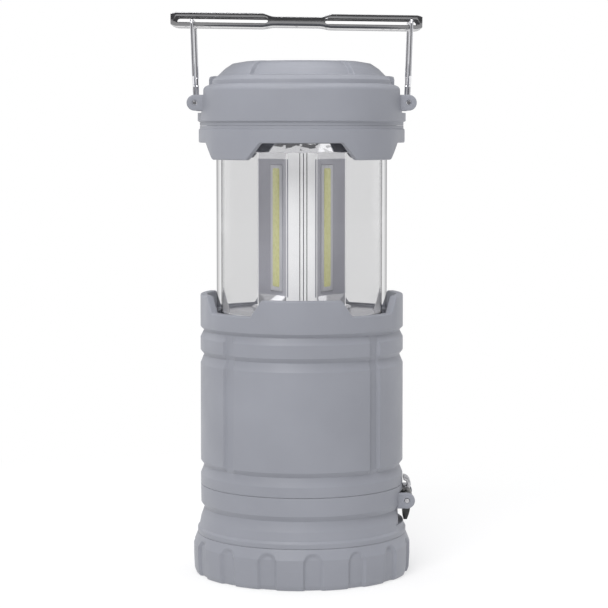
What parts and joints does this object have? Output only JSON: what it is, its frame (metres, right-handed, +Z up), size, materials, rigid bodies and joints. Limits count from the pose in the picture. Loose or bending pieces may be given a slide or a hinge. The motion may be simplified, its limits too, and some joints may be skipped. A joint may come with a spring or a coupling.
{
  "type": "camping lantern",
  "caption": "Collapsible battery camping lantern: clear lens with LED strips slides out of a ribbed barrel, with folding handle and base hook.",
  "frame": {"origin": "centre of the flat bottom face of the battery cover, on the lantern's axis", "axes": "+Z up along the lantern's axis, -Y the front, +X towards the base hook; the handle bar runs along X"},
  "size_m": [0.1032, 0.0892, 0.2283],
  "materials": {
    "housing": "soft-touch grey moulded plastic",
    "black_plastic": "black moulded plastic",
    "seal": "black rubber",
    "lens": "clear moulded plastic",
    "mirror": "vacuum-metallised mirror plastic",
    "wire_chrome": "bright plated steel wire",
    "dark_chrome": "plated pressed steel",
    "steel": "zinc-plated steel",
    "nickel": "nickel-plated spring steel",
    "brass": "brass strip",
    "board": "white solder mask on an aluminium board",
    "phosphor": "yellow phosphor silicone",
    "circuit": "green circuit board",
    "cell_skin": "printed cell sleeve, plain",
    "wire_skin": "red wire insulation"
  },
  "bodies": {
    "base": {"barrel": "housing", "lower_housing": "housing", "battery_cage": "black_plastic", "cell_1": "cell_skin", "cell_2": "cell_skin", "cell_3": "cell_skin", "top_contact_1": "nickel", "top_contact_2": "nickel", "top_contact_3": "nickel", "housing_screw_1": "steel", "housing_screw_2": "steel", "housing_screw_3": "steel", "cage_screw_1": "steel", "cage_screw_2": "steel", "cage_screw_3": "steel", "stop_ring": "black_plastic", "contact_strip_positive": "brass", "contact_strip_negative": "brass", "positive_rail": "nickel", "positive_lead": "wire_skin", "neck_contact": "brass", "hook_pin": "steel", "hook_clip": "wire_chrome"},
    "cover_ring": {"cover_seal": "seal"},
    "cover": {"battery_cover": "housing", "cover_contact": "nickel", "cell_spring_1": "nickel", "cell_spring_2": "nickel", "cell_spring_3": "nickel"},
    "head": {"lens_tube": "lens", "lens_foot": "black_plastic", "foot_contact_right": "brass", "foot_contact_left": "brass", "led_post": "mirror", "led_board_1": "board", "led_board_2": "board", "led_board_3": "board", "led_strip_1": "phosphor", "led_strip_2": "phosphor", "led_strip_3": "phosphor", "top_reflector": "mirror", "cap_skirt": "housing", "cap_seal": "seal", "cap_dome": "housing", "driver_board": "circuit", "cap_screw_1": "steel", "cap_screw_2": "steel", "cap_screw_3": "steel", "cap_screw_4": "steel"},
    "left_link": {"left_link_front_leg": "wire_chrome", "left_link_back_leg": "wire_chrome"},
    "left_cross": {"left_link_cross": "wire_chrome"},
    "bar": {"handle_bar": "dark_chrome"},
    "right_link": {"right_link": "wire_chrome"},
    "hook": {"base_hook": "dark_chrome"}
  },
  "joints": [
    {"name": "head_slide", "type": "slide", "parent": "base", "child": "head", "axis": [0, 0, 1], "range_m": [-0.061, 0]},
    {"name": "cover_turn", "type": "hinge", "parent": "cover_ring", "child": "cover", "pos_m": [0, 0, 0.01], "axis": [0, 0, 1], "range_deg": [-360, 0]},
    {"name": "cover_drop", "type": "slide", "parent": "base", "child": "cover_ring", "axis": [0, 0, 1], "range_m": [-0.012, 0]},
    {"name": "left_link_swing", "type": "hinge", "parent": "head", "child": "left_link", "pos_m": [-0.0431, 0, 0.1925], "axis": [0, 1, 0], "range_deg": [0, 36]},
    {"name": "left_cross_turn", "type": "hinge", "parent": "left_link", "child": "left_cross", "pos_m": [-0.0442, 0, 0.2255], "axis": [0, 1, 0], "range_deg": [-36, 0]},
    {"name": "bar_slide", "type": "slide", "parent": "left_cross", "child": "bar", "axis": [1, 0, 0], "range_m": [-0.0199, 0]},
    {"name": "right_link_swing", "type": "hinge", "parent": "head", "child": "right_link", "pos_m": [0.0431, 0, 0.1925], "axis": [0, 1, 0], "range_deg": [-36, 0]},
    {"name": "hook_swing", "type": "hinge", "parent": "base", "child": "hook", "pos_m": [0.043, 0, 0.0306], "axis": [0, 1, 0], "range_deg": [-110, 0]}
  ],
  "couplings": [
    {"joint": "cover_drop", "follows": "cover_turn", "m_per_rad": 0.0019099},
    {"joint": "left_cross_turn", "follows": "left_link_swing", "ratio": -1},
    {"joint": "bar_slide", "follows": "left_link_swing", "m_per_rad": -0.031206},
    {"joint": "right_link_swing", "follows": "left_link_swing", "ratio": -1}
  ]
}
